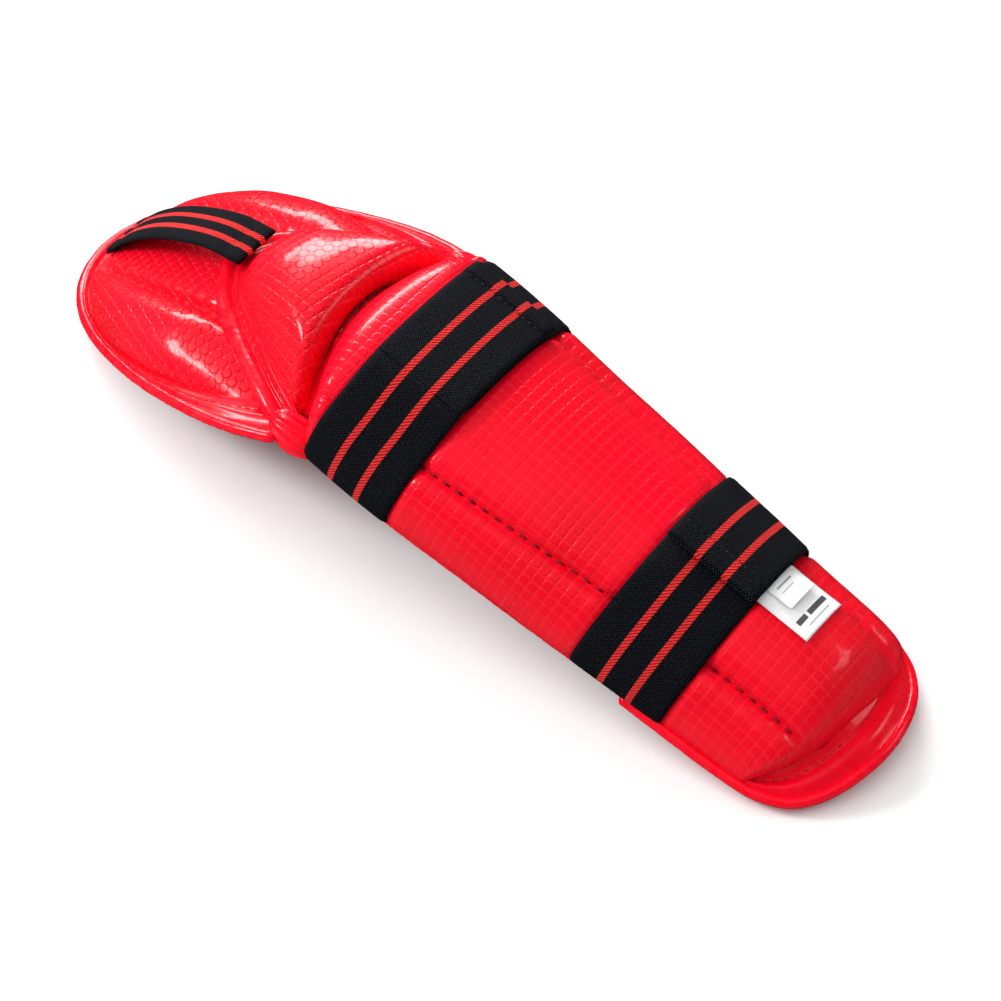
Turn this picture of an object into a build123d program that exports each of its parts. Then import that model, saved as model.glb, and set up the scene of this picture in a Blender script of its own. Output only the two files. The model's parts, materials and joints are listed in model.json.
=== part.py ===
"""Padded forearm and elbow guard for sparring.

Three padded bodies in a row: the forearm pad with its two wrap straps, the
bridge pad over the crook, and the elbow cap.  All sizes are in millimetres.

The object frame has +X towards the wrist, +Y to the left of the arm and +Z up.
The guard stands on its wrist end and on the tip of the elbow cap.
"""

from build123d import *
from math import cos, radians, sin
import os

os.makedirs("parts", exist_ok=True)

# ---------------------------------------------------------------- driving sizes
STRAP_WIDTH = 40.0  # elastic webbing of the two wrap straps
ELBOW_ELASTIC_WIDTH = 22.0  # narrow elastic over the elbow cap
STRAP_THICKNESS = 1.5
STRAP_UNDER_Z = -2.6  # the straps cross the open side just below the hems
UNDER_RADIUS = 1.5
PATCH_THICKNESS = 0.8
UPPER_STRAP_X = 0.0  # elbow-side edge of each strap along the forearm pad
LOWER_STRAP_X = 123.5

PAD_END_X = 213.0  # wrist end of the forearm foam
PITCH = 12.0  # degrees, the forearm pad falls towards the wrist
CAP_BEND = 30.0  # degrees, the elbow cap falls away from the forearm pad
PIVOT_X = -13.3  # elbow hinge, measured along the forearm pad
PIVOT_HALF_SPAN = 53.0  # corner gathers that carry the hinge
GATHER_RADIUS = 4.2
GATHER_HALF_WIDTH = 3.0
CREASE_SIDE_X = -7.0  # crease between forearm pad and bridge pad, at the sides
CREASE_CENTRE_X = -21.5
CREASE_GAP = 1.2

VINYL = 1.2  # outer cover
LINING = 0.8
GAP = 0.3  # clearance between a skin and its foam
SEAM = 1.6  # compressed seam between neighbouring foams
PAD_FOAM = 13.0
CAP_FOAM = 10.0
LEAST_RISE = 2.0  # arch that is left under a thin end
ROLL_RADIUS = 3.4
STITCH_RADIUS = 0.45
STITCH_LENGTH = 3.4
STITCH_PITCH = 6.0

WRIST_TIP_X = 233.5
DATUM_X = -37.6  # where the forearm pad's datum stands in the object frame
DATUM_Z = 47.3

# ---------------------------------------------------------------- datum planes
pad = Plane(
    origin=(DATUM_X, 0, DATUM_Z),
    x_dir=(cos(radians(PITCH)), 0, -sin(radians(PITCH))),
    z_dir=(sin(radians(PITCH)), 0, cos(radians(PITCH))),
)
cap_angle = CAP_BEND - PITCH
cap = Plane(
    origin=pad.from_local_coords(Vector(PIVOT_X, 0, 0)),
    x_dir=(cos(radians(cap_angle)), 0, sin(radians(cap_angle))),
    z_dir=(-sin(radians(cap_angle)), 0, cos(radians(cap_angle))),
)


def across(datum, x):
    """Plane across the arm at station x of a datum: its x is +Y, its y is the pad's up."""
    return Plane(
        origin=datum.from_local_coords(Vector(x, 0, 0)),
        x_dir=(0, 1, 0),
        z_dir=datum.x_dir,
    )


# ---------------------------------------------------------------- cross-sections
# A station holds: x along the datum, height of the edges, half-width at the
# edges, half-width and height of the sewn grooves, crown height, side bulge.
FOREARM_STATIONS = [
    (-24.0, 0.0, 50.5, 42.0, 21.5, 26.0, 3.6),
    (-14.0, 0.0, 51.8, 42.5, 23.5, 32.0, 3.8),
    (0.0, 0.0, 53.4, 42.8, 24.3, 35.6, 4.0),
    (20.0, 0.0, 54.5, 42.0, 24.2, 36.8, 4.2),
    (45.0, 0.0, 53.8, 39.5, 24.0, 36.8, 4.2),
    (80.0, 0.0, 51.5, 36.0, 24.0, 36.8, 4.2),
    (143.0, 0.0, 47.0, 29.7, 24.0, 36.8, 4.2),
    (172.0, 0.0, 44.3, 26.8, 23.8, 36.3, 4.2),
    (192.0, 0.0, 42.5, 25.0, 23.0, 35.0, 4.0),
    (206.0, 0.0, 40.5, 23.5, 20.0, 29.5, 3.6),
    (PAD_END_X, 0.0, 37.5, 22.0, 14.5, 20.0, 2.5),
]
BRIDGE_STATIONS = [
    (-3.0, 2.0, 49.0, 40.0, 19.0, 22.5, 1.5),
    (-14.0, 2.0, 46.5, 36.0, 21.0, 28.0, 1.5),
    (-26.0, 1.0, 40.0, 29.5, 21.5, 28.5, 1.5),
    (-38.0, -1.5, 33.0, 23.5, 22.5, 29.0, 1.5),
    (-52.0, -5.0, 25.0, 17.5, 21.5, 27.5, 1.5),
    (-62.0, -6.5, 18.0, 13.0, 18.0, 22.5, 1.5),
    (-68.0, -7.0, 14.0, 10.0, 12.5, 15.5, 1.0),
]
CAP_STATIONS = [
    (-14.0, 0.0, 50.0, 29.0, 5.5, 11.0, 0.5),
    (-25.0, 0.0, 52.5, 29.0, 7.5, 14.5, 0.5),
    (-46.0, 0.0, 53.5, 28.0, 10.0, 17.5, 4.0),
    (-66.0, 0.0, 54.0, 27.0, 12.0, 19.0, 9.5),
    (-90.0, 0.0, 51.0, 25.0, 11.5, 16.5, 9.5),
    (-110.0, 0.0, 43.5, 22.5, 10.0, 13.5, 7.5),
    (-126.0, 0.0, 32.5, 18.5, 7.5, 10.0, 4.5),
    (-137.0, 0.0, 20.0, 12.0, 4.5, 6.0, 2.0),
]


def side_point(base, edge, groove_y, groove_z, bulge):
    """Middle of a side channel, pushed out from its chord by the bulge."""
    run = edge - groove_y
    rise = groove_z
    chord = (run**2 + rise**2) ** 0.5
    return (
        (edge + groove_y) / 2 + bulge * rise / chord,
        base + groove_z / 2 + bulge * run / chord,
    )


def outline(station, inset):
    """Right half of the outer line: edge, side, groove and crown points."""
    _, base, edge, groove_y, groove_z, crown, bulge = station
    side = side_point(base, edge, groove_y, groove_z, bulge - inset)
    return (
        (edge - inset, base),
        side,
        (groove_y, base + groove_z - 1.2 * inset),
        (0, base + crown - inset),
    )


def mirrored(point):
    return (-point[0], point[1])


def outer_arcs(station, inset):
    """Near side channel, centre panel and far side channel as three arcs."""
    edge, side, groove, crown = outline(station, inset)
    ThreePointArc(mirrored(edge), mirrored(side), mirrored(groove))
    ThreePointArc(mirrored(groove), crown, groove)
    ThreePointArc(groove, side, edge)


def trough_points(station, wall, lift):
    """Right end and crown of the arched inner surface, for a wall thickness."""
    _, base, edge, _, _, crown, _ = station
    rise = max(crown - wall, LEAST_RISE)
    return (edge - 0.8 * wall - lift, base), (0, base + rise - lift)


def skin_sketch(datum, station, inset, thickness):
    """Closed band that follows the outer line of a padded section."""
    outside = outline(station, inset)[0]
    inside = outline(station, inset + thickness)[0]
    with BuildSketch(across(datum, station[0])) as sketch:
        with BuildLine():
            outer_arcs(station, inset)
            Line(outside, inside)
            outer_arcs(station, inset + thickness)
            Line(mirrored(inside), mirrored(outside))
        make_face()
    return sketch.sketch


def fill_sketch(datum, station, wall):
    """Foam between the cover and the arched inner surface."""
    foam_edge = outline(station, VINYL + GAP)[0]
    inner_edge, inner_crown = trough_points(station, wall, 0)
    with BuildSketch(across(datum, station[0])) as sketch:
        with BuildLine():
            outer_arcs(station, VINYL + GAP)
            Line(foam_edge, inner_edge)
            ThreePointArc(inner_edge, inner_crown, mirrored(inner_edge))
            Line(mirrored(inner_edge), mirrored(foam_edge))
        make_face()
    return sketch.sketch


def lining_sketch(datum, station, wall):
    """Thin band under the foam, along the arched inner surface."""
    top_edge, top_crown = trough_points(station, wall, 2 * GAP)
    low_edge, low_crown = trough_points(station, wall, 2 * GAP + LINING)
    with BuildSketch(across(datum, station[0])) as sketch:
        with BuildLine():
            ThreePointArc(top_edge, top_crown, mirrored(top_edge))
            Line(mirrored(top_edge), mirrored(low_edge))
            ThreePointArc(mirrored(low_edge), low_crown, low_edge)
            Line(low_edge, top_edge)
        make_face()
    return sketch.sketch


def loft_through(sections):
    with BuildPart() as lofted:
        loft(sections=sections)
    return lofted.part


def write(name, shape):
    shape.label = name
    export_step(shape, f"parts/{name}.step")


# ---------------------------------------------------------------- crease cutters
def crease_cutter(offset, towards_wrist):
    """Solid on one side of the curved crease, moved along X by offset."""
    far_x = 60.0 if towards_wrist else -90.0
    ends = CREASE_SIDE_X + offset
    middle = CREASE_CENTRE_X + offset
    flare = 2 * ends - middle
    with BuildPart() as cutter:
        with BuildSketch(pad.offset(-30)):
            with BuildLine():
                ThreePointArc((flare, -75), (middle, 0), (flare, 75))
                Polyline((flare, 75), (far_x, 75), (far_x, -75), (flare, -75))
            make_face()
        extrude(amount=90)
    return cutter.part


# ---------------------------------------------------------------- sewn channels
def seam_cutter(datum, stations, side):
    """Thin upright walls along one sewn groove, through every station."""
    with BuildPart() as cutter:
        for start, end in zip(stations, stations[1:]):
            first = Vector(start[0], side * start[3], 0)
            second = Vector(end[0], side * end[3], 0)
            middle = (first + second) * 0.5
            run = second - first
            turn = Plane(origin=datum.from_local_coords(middle), x_dir=datum.x_dir, z_dir=datum.z_dir)
            with Locations(turn.location * Location((0, 0, 0), (0, 0, degrees_of(run)))):
                Box(run.length + 2 * SEAM, SEAM, 120)
    return cutter.part


def degrees_of(run):
    return Vector(1, 0, 0).get_signed_angle(run, Vector(0, 0, 1))


def split_foam(datum, stations, wall, crease):
    """Centre, near and far foams of one padded body."""
    with BuildPart() as foam:
        add(loft_through([fill_sketch(datum, station, wall) for station in stations]))
        for side in (-1, 1):
            add(seam_cutter(datum, stations, side), mode=Mode.SUBTRACT)
        if crease is not None:
            add(crease, mode=Mode.SUBTRACT)
    pieces = foam.part.solids().sort_by(Axis.Y)
    return pieces[0], pieces[1], pieces[2]


def skin(datum, stations, crease):
    """Cover of one padded body."""
    with BuildPart() as cover:
        add(loft_through([skin_sketch(datum, station, 0, VINYL) for station in stations]))
        if crease is not None:
            add(crease, mode=Mode.SUBTRACT)
    return cover.part


def inner_skin(datum, stations, wall, crease):
    """Lining of one padded body."""
    with BuildPart() as lining:
        add(loft_through([lining_sketch(datum, station, wall) for station in stations]))
        if crease is not None:
            add(crease, mode=Mode.SUBTRACT)
    return lining.part


# ---------------------------------------------------------------- forearm pad
behind_forearm = crease_cutter(0, towards_wrist=False)
near_foam, centre_foam, far_foam = split_foam(pad, FOREARM_STATIONS, PAD_FOAM, behind_forearm)
write("forearm_right_foam", near_foam)
write("forearm_centre_foam", centre_foam)
write("forearm_left_foam", far_foam)
write("forearm_cover", skin(pad, FOREARM_STATIONS, behind_forearm))
write("forearm_lining", inner_skin(pad, FOREARM_STATIONS, PAD_FOAM, behind_forearm))


# ---------------------------------------------------------------- wrist flange
FLANGE_START_X = PAD_END_X + GAP
FLANGE_ROOT_X = PAD_END_X - 30  # plan of the flange: root, corner and tip, half-widths with them
FLANGE_ROOT_Y = 44.0
FLANGE_CORNER_X = PAD_END_X + 6
FLANGE_CORNER_Y = 42.5
FLANGE_TIP_Y = 22.0
FLANGE_TIP_RADIUS = 28.0
FLANGE_HALF_WIDTH = 50.0  # of the arch that the plan is cut from
FLANGE_RISE = 15.0
FLANGE_THICKNESS = 3.0
BINDING_WIDTH = 4.6
BINDING_THICKNESS = 5.0
PLAN_DEPTH = 30.0
PLAN_HEIGHT = 90.0


def wrist_outline(inset):
    """Plan of the D-shaped wrist flange, from inside the pad to its rounded tip."""
    tip = WRIST_TIP_X - inset
    with BuildSketch(pad.offset(-PLAN_DEPTH)) as plan:
        with BuildLine():
            Polyline(
                (FLANGE_ROOT_X, -FLANGE_ROOT_Y + inset),
                (FLANGE_CORNER_X, -FLANGE_CORNER_Y + inset),
                (tip, -FLANGE_TIP_Y),
                (tip, FLANGE_TIP_Y),
                (FLANGE_CORNER_X, FLANGE_CORNER_Y - inset),
                (FLANGE_ROOT_X, FLANGE_ROOT_Y - inset),
                close=True,
            )
        make_face()
        fillet(plan.vertices().group_by(Axis.X)[-1], radius=FLANGE_TIP_RADIUS)
    return plan.sketch


def arched_band(start_x, end_x, half_width, rise, thickness):
    """Arched sheet across the wrist end, its edges on the datum plane."""
    with BuildPart() as band:
        with BuildSketch(across(pad, start_x)):
            with BuildLine():
                ThreePointArc((-half_width, 0), (0, rise), (half_width, 0))
                Line((half_width, 0), (half_width, -thickness))
                ThreePointArc((half_width, -thickness), (0, rise - thickness), (-half_width, -thickness))
                Line((-half_width, -thickness), (-half_width, 0))
            make_face()
        extrude(amount=end_x - start_x)
    return band.part


def flange_plan(outer_inset, inner_inset):
    """Tall block over the flange's plan, hollow where an inner inset is given."""
    with BuildPart() as block:
        extrude(wrist_outline(outer_inset), amount=PLAN_HEIGHT)
        if inner_inset is not None:
            extrude(wrist_outline(inner_inset), amount=PLAN_HEIGHT, mode=Mode.SUBTRACT)
    return block.part


band_end_x = WRIST_TIP_X + 5
with BuildPart() as wrist_flange:
    add(arched_band(FLANGE_START_X, band_end_x, FLANGE_HALF_WIDTH, FLANGE_RISE, FLANGE_THICKNESS))
    add(flange_plan(BINDING_WIDTH, None), mode=Mode.INTERSECT)
write("wrist_flange", wrist_flange.part)

binding_top = FLANGE_RISE + (BINDING_THICKNESS - FLANGE_THICKNESS) / 2
with BuildPart() as wrist_binding:
    add(arched_band(FLANGE_START_X, band_end_x, FLANGE_HALF_WIDTH, binding_top, BINDING_THICKNESS))
    add(flange_plan(0, BINDING_WIDTH - 0.1), mode=Mode.INTERSECT)
write("wrist_binding", wrist_binding.part)

# Folded hems that close cover and lining along the long edges.
HEM_START_X = -6.0
HEM_THICKNESS = 2.0
hem_stations = [(HEM_START_X, *FOREARM_STATIONS[1][1:]), *FOREARM_STATIONS[2:]]
for side, name in ((-1, "forearm_right_hem"), (1, "forearm_left_hem")):
    with BuildPart() as hem:
        with BuildSketch(pad.offset(-GAP)):
            for start, end in zip(hem_stations, hem_stations[1:]):
                with BuildLine():
                    Polyline(
                        (start[0], side * (start[2] - 0.8 * PAD_FOAM - 1)),
                        (start[0], side * (start[2] + 0.6)),
                        (end[0], side * (end[2] + 0.6)),
                        (end[0], side * (end[2] - 0.8 * PAD_FOAM - 1)),
                        close=True,
                    )
                make_face()
        extrude(amount=-HEM_THICKNESS)
    write(name, hem.part)

# ---------------------------------------------------------------- bridge pad
before_bridge = crease_cutter(-CREASE_GAP, towards_wrist=True)
bridge_near, bridge_centre, bridge_far = split_foam(pad, BRIDGE_STATIONS, CAP_FOAM, before_bridge)
write("bridge_right_foam", bridge_near)
write("bridge_centre_foam", bridge_centre)
write("bridge_left_foam", bridge_far)
write("bridge_cover", skin(pad, BRIDGE_STATIONS, before_bridge))
write("bridge_lining", inner_skin(pad, BRIDGE_STATIONS, CAP_FOAM, before_bridge))

ROLLED_EDGE = [
    (-23.0, -49.0, 2.5),
    (-39.0, -41.5, -1.5),
    (-59.0, -29.0, -7.5),
    (-77.0, -12.0, -9.5),
    (-77.0, 12.0, -9.5),
    (-59.0, 29.0, -7.5),
    (-39.0, 41.5, -1.5),
    (-23.0, 49.0, 2.5),
]
with BuildPart() as rolled_edge:
    with BuildLine() as roll_path:
        points = [pad.from_local_coords(Vector(*point)) for point in ROLLED_EDGE]
        FilletPolyline(*points, radius=12)
    with BuildSketch(Plane(origin=roll_path.line @ 0, z_dir=roll_path.line % 0)):
        Circle(ROLL_RADIUS)
    sweep()
write("bridge_rolled_edge", rolled_edge.part)

# ---------------------------------------------------------------- elbow cap
near_cap, centre_cap, far_cap = split_foam(cap, CAP_STATIONS, CAP_FOAM, None)
write("cap_right_foam", near_cap)
write("cap_centre_foam", centre_cap)
write("cap_left_foam", far_cap)
write("cap_cover", skin(cap, CAP_STATIONS, None))
write("cap_lining", inner_skin(cap, CAP_STATIONS, CAP_FOAM, None))


RIM_THICKNESS = 2.4
RIM_INNER_INSET = 16.0
CAP_BINDING = 4.4
CAP_BINDING_LIFT = 0.7
RIM_ROOT = (-9.0, 58.0)  # plan of the rim: x along the cap and half-width
RIM_WIDEST = (-85.0, 64.0)
RIM_TIP = (-150.6, 30.0)
RIM_WIDEST_RADIUS = 45.0
RIM_TIP_RADIUS = 32.0


def cap_outline(plane, inset):
    """Shovel-shaped plan of the elbow cap's rim."""
    half = (RIM_ROOT, RIM_WIDEST, RIM_TIP)
    with BuildSketch(plane) as plan:
        with BuildLine():
            Polyline(*[(x, -y) for x, y in half], *reversed(half), close=True)
        make_face()
        fillet(plan.vertices().group_by(Axis.X)[0], radius=RIM_TIP_RADIUS)
        widest = [vertex for vertex in plan.vertices() if abs(abs(vertex.Y) - RIM_WIDEST[1]) < 0.1]
        fillet(widest, radius=RIM_WIDEST_RADIUS)
        offset(amount=-inset)
    return plan.sketch


ROOT_CUT_X = -14.5  # the rim stops short of the hinge, and further out across the arm
ARM_CUT_X = -27.0
ARM_CUT_WIDTH = 92.0
ROOT_WIDTH = 130.0
ROOT_END_X = 10.0


def root_opening(top):
    """Room for the arm where the rim meets the hinge."""
    with BuildPart() as opening:
        with BuildSketch(cap.offset(top)):
            for start_x, width in ((ROOT_CUT_X, ROOT_WIDTH), (ARM_CUT_X, ARM_CUT_WIDTH)):
                with Locations(((start_x + ROOT_END_X) / 2, 0)):
                    Rectangle(ROOT_END_X - start_x, width)
        extrude(amount=-2 * CAP_BINDING)
    return opening.part


with BuildPart() as cap_rim:
    extrude(cap_outline(cap.offset(-GAP), CAP_BINDING + 0.1), amount=-RIM_THICKNESS)
    inner_rim = cap_outline(cap.offset(-GAP), RIM_INNER_INSET)
    extrude(inner_rim, amount=-RIM_THICKNESS, mode=Mode.SUBTRACT)
    add(root_opening(-GAP), mode=Mode.SUBTRACT)
write("cap_rim_flange", cap_rim.part)

with BuildPart() as cap_binding:
    binding_plane = cap.offset(CAP_BINDING_LIFT)
    extrude(cap_outline(binding_plane, 0), amount=-CAP_BINDING)
    extrude(cap_outline(binding_plane, CAP_BINDING), amount=-CAP_BINDING, mode=Mode.SUBTRACT)
    add(root_opening(CAP_BINDING_LIFT), mode=Mode.SUBTRACT)
write("cap_binding", cap_binding.part)

# Gathered corners: every layer is sewn together here, on the hinge line.
for side, name in ((-1, "right_corner_gather"), (1, "left_corner_gather")):
    with BuildPart() as gather:
        hinge = pad.from_local_coords(Vector(PIVOT_X, side * PIVOT_HALF_SPAN, 0))
        with BuildSketch(Plane(origin=hinge, x_dir=(1, 0, 0), z_dir=(0, 1, 0))):
            Circle(GATHER_RADIUS)
        extrude(amount=GATHER_HALF_WIDTH, both=True)
        fillet(gather.edges(), radius=1.5)
    write(name, gather.part)


# ---------------------------------------------------------------- wrap straps
def station_at(x):
    """Forearm section at any x, straight between its neighbours."""
    for low, high in zip(FOREARM_STATIONS, FOREARM_STATIONS[1:]):
        if low[0] <= x <= high[0]:
            share = (x - low[0]) / (high[0] - low[0])
            return tuple(a + share * (b - a) for a, b in zip(low, high))
    raise ValueError("no section at this station")


def strap_section(strap_x, x):
    """Forearm section at x, straight between the two edges of one strap."""
    share = (x - strap_x) / STRAP_WIDTH
    low = station_at(strap_x)
    high = station_at(strap_x + STRAP_WIDTH)
    return tuple(a + share * (b - a) for a, b in zip(low, high))


def strap_loop(strap_x, x, lift):
    """Filled outline of a belt round the forearm pad, lifted off the cover."""
    _, _, edge, groove_y, groove_z, crown, _ = strap_section(strap_x, x)
    side = edge + 0.8 + lift
    shoulder = (groove_y + 2 + 0.6 * lift, groove_z + 4 + 0.85 * lift)
    low = STRAP_UNDER_Z - lift
    with BuildSketch(across(pad, x)) as loop:
        with BuildLine():
            ThreePointArc(mirrored(shoulder), (0, crown + lift), shoulder)
            Polyline(shoulder, (side, 9), (side, low), (-side, low), (-side, 9), mirrored(shoulder))
        make_face()
        fillet(loop.vertices().group_by(Axis.Y)[0], radius=UNDER_RADIUS + lift)
    return loop.sketch


def belt(strap_x, margin, low, high):
    """Closed belt between two lifts off the cover, narrower than the strap by two margins."""
    start_x = strap_x + margin
    end_x = strap_x + STRAP_WIDTH - margin
    with BuildPart() as core:
        loft(sections=[strap_loop(strap_x, x, low) for x in (start_x - 1, end_x + 1)], ruled=True)
    with BuildPart() as ring:
        loft(sections=[strap_loop(strap_x, x, high) for x in (start_x, end_x)], ruled=True)
        add(core.part, mode=Mode.SUBTRACT)
    return ring.part


def between(piece, middle_x, start_y, end_y):
    """Part of a belt or sheet that lies on the crown between two Y limits."""
    with BuildPart() as crown_piece:
        add(piece)
        middle = pad.from_local_coords(Vector(middle_x, (start_y + end_y) / 2, 40))
        with Locations(Plane(origin=middle, x_dir=pad.x_dir, z_dir=pad.z_dir).location):
            Box(2 * STRAP_WIDTH, end_y - start_y, 50, mode=Mode.INTERSECT)
    return crown_piece.part


STRAP_LOW = 1.2
STRAP_HIGH = STRAP_LOW + STRAP_THICKNESS
LOOP_LOW = STRAP_HIGH + 0.1
LOOP_HIGH = LOOP_LOW + PATCH_THICKNESS
HOOK_LOW = LOOP_HIGH + GAP
HOOK_HIGH = HOOK_LOW + PATCH_THICKNESS
TAIL_LOW = HOOK_HIGH + 0.1
TAIL_HIGH = TAIL_LOW + STRAP_THICKNESS
PATCH_MARGIN = 3.0
TACK_WIDTH = 3.0
HINGE_MARGIN = 8.0  # bare webbing between the hinge line and the patches

# Elbow-side edge, hinge line and free end of each strap's tail.
STRAPS = {
    "upper_strap": (UPPER_STRAP_X, -20.0, 36.0),
    "lower_strap": (LOWER_STRAP_X, 31.0, -5.0),
}
for strap_name, (strap_x, hinge_y, end_y) in STRAPS.items():
    middle_x = strap_x + STRAP_WIDTH / 2
    outward = 1 if end_y > hinge_y else -1
    tail_span = sorted((hinge_y, end_y))
    patch_span = sorted((hinge_y + HINGE_MARGIN * outward, end_y - TACK_WIDTH * outward))
    write(strap_name, belt(strap_x, 0, STRAP_LOW, STRAP_HIGH))
    loop_belt = belt(strap_x, PATCH_MARGIN, LOOP_LOW, LOOP_HIGH)
    write(f"{strap_name}_loop_patch", between(loop_belt, middle_x, *patch_span))
    hook_belt = belt(strap_x, PATCH_MARGIN, HOOK_LOW, HOOK_HIGH)
    write(f"{strap_name}_hook_patch", between(hook_belt, middle_x, *patch_span))
    tail_belt = belt(strap_x, 0, TAIL_LOW, TAIL_HIGH)
    write(f"{strap_name}_tail", between(tail_belt, middle_x, *tail_span))

# ---------------------------------------------------------------- labels
LABEL_X = LOWER_STRAP_X + STRAP_WIDTH + 0.6


def crown_patch(start_x, end_x, low, high, start_y, end_y):
    """Thin sheet that follows the crown of the forearm cover."""
    sections = []
    for x in (start_x, end_x):
        _, _, _, groove_y, groove_z, crown, _ = station_at(x)
        with BuildSketch(across(pad, x)) as band:
            with BuildLine():
                ThreePointArc((-groove_y, groove_z + high), (0, crown + high), (groove_y, groove_z + high))
                Line((groove_y, groove_z + high), (groove_y, groove_z + low))
                ThreePointArc((groove_y, groove_z + low), (0, crown + low), (-groove_y, groove_z + low))
                Line((-groove_y, groove_z + low), (-groove_y, groove_z + high))
            make_face()
        sections.append(band.sketch)
    with BuildPart() as sheet:
        loft(sections=sections, ruled=True)
    return between(sheet.part, (start_x + end_x) / 2, start_y, end_y)


# Length, lift off the cover and Y limits of each label.
LABEL_THICKNESS = 0.4
LABELS = {"woven_label": (22.0, 0.9, -2.0, 24.0), "size_label": (11.0, 1.5, 2.0, 20.0)}
for label_name, (length, low, start_y, end_y) in LABELS.items():
    high = low + LABEL_THICKNESS
    write(label_name, crown_patch(LABEL_X, LABEL_X + length, low, high, start_y, end_y))


# ---------------------------------------------------------------- thread
def stitches(datum, stations, side, start_x, end_x, lift):
    """Row of short stitches along one sewn groove."""
    thread = []
    x = start_x
    while x < end_x:
        for low, high in zip(stations, stations[1:]):
            inside = min(low[0], high[0]) <= x < max(low[0], high[0])
            if inside:
                share = (x - low[0]) / (high[0] - low[0])
                y = side * (low[3] + share * (high[3] - low[3]))
                z = low[4] + share * (high[4] - low[4]) + low[1] + share * (high[1] - low[1]) + lift
                point = datum.from_local_coords(Vector(x, y, z))
                with BuildPart() as stitch:
                    with BuildSketch(Plane(origin=point, z_dir=datum.x_dir)):
                        Circle(STITCH_RADIUS)
                    extrude(amount=STITCH_LENGTH)
                thread.append(stitch.part)
        x += STITCH_PITCH
    return Compound(children=thread)


PAD_STITCHES = (46.0, 196.0, 1.2)  # first and last x, lift out of the groove
CAP_STITCHES = (-122.0, -64.0, 1.4)
for side, side_name in ((-1, "right"), (1, "left")):
    write(f"{side_name}_channel_stitching", stitches(pad, FOREARM_STATIONS, side, *PAD_STITCHES))
    write(f"cap_{side_name}_stitching", stitches(cap, CAP_STATIONS, side, *CAP_STITCHES))

# ---------------------------------------------------------------- elbow elastic
# Arch of the narrow elastic over the cap, as x and z in the cap's own plane.
ELASTIC_ROOT = (-51.5, 31.5)
ELASTIC_HUMP = (-100.0, 28.0)
ELASTIC_TIP = (-143.0, 4.5)
ELASTIC_THICKNESS = 1.3
with BuildPart() as elastic:
    with BuildSketch(Plane(origin=cap.origin, x_dir=cap.x_dir, z_dir=(0, -1, 0))):
        with BuildLine():
            ThreePointArc(ELASTIC_ROOT, ELASTIC_HUMP, ELASTIC_TIP)
            offset(amount=ELASTIC_THICKNESS / 2)
        make_face()
    extrude(amount=ELBOW_ELASTIC_WIDTH / 2, both=True)
write("elbow_elastic", elastic.part)
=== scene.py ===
"""Looks of the padded forearm and elbow guard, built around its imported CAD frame."""

import json
from math import cos, pi, radians, sin

import bpy
import numpy as np
from mathutils import Matrix, Vector


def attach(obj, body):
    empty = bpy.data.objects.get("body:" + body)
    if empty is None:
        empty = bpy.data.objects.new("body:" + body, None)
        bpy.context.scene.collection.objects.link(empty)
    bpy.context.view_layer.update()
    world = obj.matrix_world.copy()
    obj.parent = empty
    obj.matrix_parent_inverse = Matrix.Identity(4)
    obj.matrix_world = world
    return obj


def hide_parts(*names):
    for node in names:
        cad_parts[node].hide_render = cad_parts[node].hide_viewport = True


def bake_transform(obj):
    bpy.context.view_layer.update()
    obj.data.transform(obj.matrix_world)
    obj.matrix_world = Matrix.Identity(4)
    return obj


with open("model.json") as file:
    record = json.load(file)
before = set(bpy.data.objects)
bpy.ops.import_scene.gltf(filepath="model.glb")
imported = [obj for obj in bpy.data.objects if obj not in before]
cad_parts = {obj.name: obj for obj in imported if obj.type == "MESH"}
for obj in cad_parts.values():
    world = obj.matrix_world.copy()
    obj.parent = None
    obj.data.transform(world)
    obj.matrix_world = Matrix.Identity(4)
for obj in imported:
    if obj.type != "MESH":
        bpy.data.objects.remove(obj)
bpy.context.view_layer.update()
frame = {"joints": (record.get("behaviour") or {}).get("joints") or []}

# ---------------------------------------------------------------- datums, in millimetres
MM = 0.001
PIVOT_X = -13.3
CAP_BEND = radians(30.0)
JOINTS = {joint["name"]: joint for joint in frame["joints"]}

def unit(vector):
    return np.array(vector, float) / np.linalg.norm(vector)

class Datum:
    """A part's own axes: x along the arm, y across it, z away from the arm."""

    def __init__(self, origin, x_axis):
        self.origin = np.array(origin, float)
        self.x = unit(x_axis)
        self.y = np.array((0.0, 1.0, 0.0))
        self.z = np.cross(self.x, self.y)

    def place(self, points):
        points = np.asarray(points, float)
        return (self.origin + points @ np.array((self.x, self.y, self.z))) * MM

pivot = np.array(JOINTS["elbow_fold"]["pos_m"]) / MM
pad_x = unit(JOINTS["upper_strap_peel"]["axis"])
pad = Datum(pivot - PIVOT_X * pad_x, pad_x)
cap = Datum(pivot, pad.x * cos(CAP_BEND) + pad.z * sin(CAP_BEND))

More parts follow.
